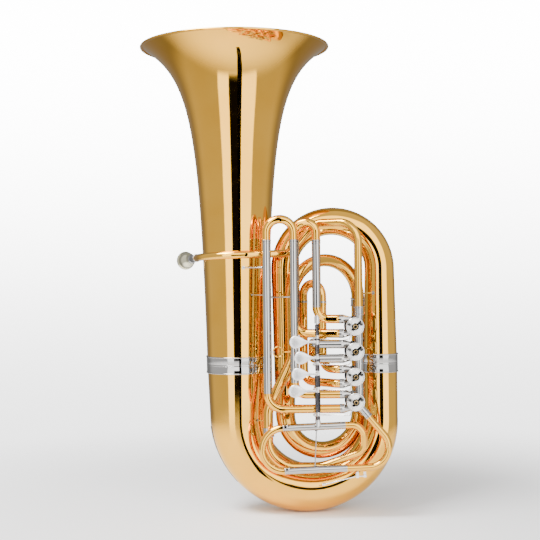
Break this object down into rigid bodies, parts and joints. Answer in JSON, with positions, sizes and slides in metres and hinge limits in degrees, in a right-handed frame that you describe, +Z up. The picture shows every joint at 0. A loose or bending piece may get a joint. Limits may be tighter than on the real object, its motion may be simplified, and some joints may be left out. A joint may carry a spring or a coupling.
{
  "type": "rotary valve tuba",
  "caption": "Upright tuba in lacquered brass with a wide upward bell, folded conical bows, rotary valves with side paddles, and pull-out tuning slides.",
  "frame": {"origin": "lowest point of the bottom bow, where the tuba rests on a lap or a stand", "axes": "+Z up towards the bell's mouth, -Y to the valve side that faces the listener, +X from the bell to the outer branch"},
  "size_m": [0.6056, 0.45, 1.1],
  "materials": {
    "lacquered_brass": "polished, clear lacquer",
    "nickel_silver": "polished nickel silver, clear lacquer",
    "silver_plate": "bright silver plate",
    "plain_brass": "machined, satin",
    "bumper_rubber": "matt",
    "spring_steel": "blued steel"
  },
  "bodies": {
    "tuba_frame": {"bell": "lacquered_brass", "bell_rim": "lacquered_brass", "bell_ferrule": "nickel_silver", "bottom_bow": "lacquered_brass", "bow_guard": "nickel_silver", "outer_branch": "lacquered_brass", "branch_ferrule": "nickel_silver", "top_bow": "lacquered_brass", "inner_branch": "lacquered_brass", "inner_bottom_bow": "lacquered_brass", "inner_right_branch": "lacquered_brass", "inner_top_bow": "lacquered_brass", "riser": "lacquered_brass", "lower_arc": "lacquered_brass", "main_slide_sleeves": "nickel_silver", "outlet_tube": "lacquered_brass", "leadpipe": "lacquered_brass", "receiver": "nickel_silver", "tube_ferrules": "nickel_silver", "stays": "nickel_silver", "casing_1": "nickel_silver", "casing_2": "nickel_silver", "casing_3": "nickel_silver", "casing_4": "nickel_silver", "rear_bearings": "nickel_silver", "rear_caps": "nickel_silver", "bumpers": "bumper_rubber", "connecting_tubes": "nickel_silver", "hinge_rod": "silver_plate", "hinge_posts": "silver_plate", "paddle_springs": "spring_steel", "valve_tubes_1": "lacquered_brass", "valve_tubes_2": "nickel_silver", "valve_tubes_3": "lacquered_brass", "valve_tubes_4": "lacquered_brass", "thumb_ring": "lacquered_brass", "water_key_saddle": "silver_plate"},
    "rotor_1_body": {"rotor_1": "plain_brass", "stop_arm_1": "silver_plate"},
    "link_1_body": {"link_1": "silver_plate"},
    "paddle_1_body": {"paddle_1": "silver_plate"},
    "valve_slide_1_body": {"valve_slide_1": "lacquered_brass"},
    "rotor_2_body": {"rotor_2": "plain_brass", "stop_arm_2": "silver_plate"},
    "link_2_body": {"link_2": "silver_plate"},
    "paddle_2_body": {"paddle_2": "silver_plate"},
    "valve_slide_2_body": {"valve_slide_2": "lacquered_brass"},
    "rotor_3_body": {"rotor_3": "plain_brass", "stop_arm_3": "silver_plate"},
    "link_3_body": {"link_3": "silver_plate"},
    "paddle_3_body": {"paddle_3": "silver_plate"},
    "valve_slide_3_body": {"valve_slide_3": "lacquered_brass"},
    "rotor_4_body": {"rotor_4": "plain_brass", "stop_arm_4": "silver_plate"},
    "link_4_body": {"link_4": "silver_plate"},
    "paddle_4_body": {"paddle_4": "silver_plate"},
    "valve_slide_4_body": {"valve_slide_4": "lacquered_brass"},
    "main_slide_body": {"main_slide": "lacquered_brass"},
    "mouthpiece_body": {"mouthpiece": "silver_plate"},
    "water_key_body": {"water_key": "silver_plate"}
  },
  "joints": [
    {"name": "rotor_1_turn", "type": "hinge", "parent": "tuba_frame", "child": "rotor_1_body", "pos_m": [0.101, -0.1, 0.44125], "axis": [0, -1, 0], "range_deg": [0, 90]},
    {"name": "link_1_turn", "type": "hinge", "parent": "rotor_1_body", "child": "link_1_body", "pos_m": [0.09528, -0.1336, 0.43553], "axis": [0, -1, 0], "range_deg": [-90, 0]},
    {"name": "paddle_1_press", "type": "hinge", "parent": "tuba_frame", "child": "paddle_1_body", "pos_m": [0.014, -0.142, 0.4125], "axis": [0, 0, -1], "range_deg": [0, 22], "stiffness_Nm_per_rad": 0.12, "springref_deg": -20.05},
    {"name": "rotor_2_turn", "type": "hinge", "parent": "tuba_frame", "child": "rotor_2_body", "pos_m": [0.101, -0.1, 0.38425], "axis": [0, -1, 0], "range_deg": [0, 90]},
    {"name": "link_2_turn", "type": "hinge", "parent": "rotor_2_body", "child": "link_2_body", "pos_m": [0.09528, -0.1336, 0.37853], "axis": [0, -1, 0], "range_deg": [-90, 0]},
    {"name": "paddle_2_press", "type": "hinge", "parent": "tuba_frame", "child": "paddle_2_body", "pos_m": [0.014, -0.142, 0.3688], "axis": [0, 0, -1], "range_deg": [0, 22], "stiffness_Nm_per_rad": 0.12, "springref_deg": -20.05},
    {"name": "rotor_3_turn", "type": "hinge", "parent": "tuba_frame", "child": "rotor_3_body", "pos_m": [0.101, -0.1, 0.32725], "axis": [0, -1, 0], "range_deg": [0, 90]},
    {"name": "link_3_turn", "type": "hinge", "parent": "rotor_3_body", "child": "link_3_body", "pos_m": [0.09528, -0.1336, 0.32153], "axis": [0, -1, 0], "range_deg": [-90, 0]},
    {"name": "paddle_3_press", "type": "hinge", "parent": "tuba_frame", "child": "paddle_3_body", "pos_m": [0.014, -0.142, 0.3216], "axis": [0, 0, -1], "range_deg": [0, 22], "stiffness_Nm_per_rad": 0.12, "springref_deg": -20.05},
    {"name": "rotor_4_turn", "type": "hinge", "parent": "tuba_frame", "child": "rotor_4_body", "pos_m": [0.101, -0.1, 0.27025], "axis": [0, -1, 0], "range_deg": [0, 90]},
    {"name": "link_4_turn", "type": "hinge", "parent": "rotor_4_body", "child": "link_4_body", "pos_m": [0.09528, -0.1336, 0.26453], "axis": [0, -1, 0], "range_deg": [-90, 0]},
    {"name": "paddle_4_press", "type": "hinge", "parent": "tuba_frame", "child": "paddle_4_body", "pos_m": [0.014, -0.142, 0.2725], "axis": [0, 0, -1], "range_deg": [0, 22], "stiffness_Nm_per_rad": 0.12, "springref_deg": -20.05},
    {"name": "valve_slide_1_pull", "type": "slide", "parent": "tuba_frame", "child": "valve_slide_1_body", "axis": [0, 0, 1], "range_m": [0, 0.09]},
    {"name": "valve_slide_2_pull", "type": "slide", "parent": "tuba_frame", "child": "valve_slide_2_body", "axis": [0, 1, 0], "range_m": [0, 0.02]},
    {"name": "valve_slide_3_pull", "type": "slide", "parent": "tuba_frame", "child": "valve_slide_3_body", "axis": [0, 0, 1], "range_m": [0, 0.006]},
    {"name": "valve_slide_4_pull", "type": "slide", "parent": "tuba_frame", "child": "valve_slide_4_body", "axis": [0, 0, 1], "range_m": [0, 0.12]},
    {"name": "main_slide_pull", "type": "slide", "parent": "tuba_frame", "child": "main_slide_body", "axis": [-0.9994, 0, -0.0349], "range_m": [0, 0.07]},
    {"name": "mouthpiece_pull", "type": "slide", "parent": "tuba_frame", "child": "mouthpiece_body", "axis": [-0.3252, 0.9443, -0.0499], "range_m": [0, 0.03]},
    {"name": "water_key_open", "type": "hinge", "parent": "tuba_frame", "child": "water_key_body", "pos_m": [0.104, -0.1, 0.099], "axis": [0, 1, 0], "range_deg": [0, 9], "stiffness_Nm_per_rad": 0.05, "springref_deg": -20.05}
  ],
  "couplings": [
    {"joint": "paddle_1_press", "follows": "rotor_1_turn", "ratio": 0.24444},
    {"joint": "link_1_turn", "follows": "rotor_1_turn", "ratio": -1},
    {"joint": "paddle_2_press", "follows": "rotor_2_turn", "ratio": 0.24444},
    {"joint": "link_2_turn", "follows": "rotor_2_turn", "ratio": -1},
    {"joint": "paddle_3_press", "follows": "rotor_3_turn", "ratio": 0.24444},
    {"joint": "link_3_turn", "follows": "rotor_3_turn", "ratio": -1},
    {"joint": "paddle_4_press", "follows": "rotor_4_turn", "ratio": 0.24444},
    {"joint": "link_4_turn", "follows": "rotor_4_turn", "ratio": -1}
  ]
}
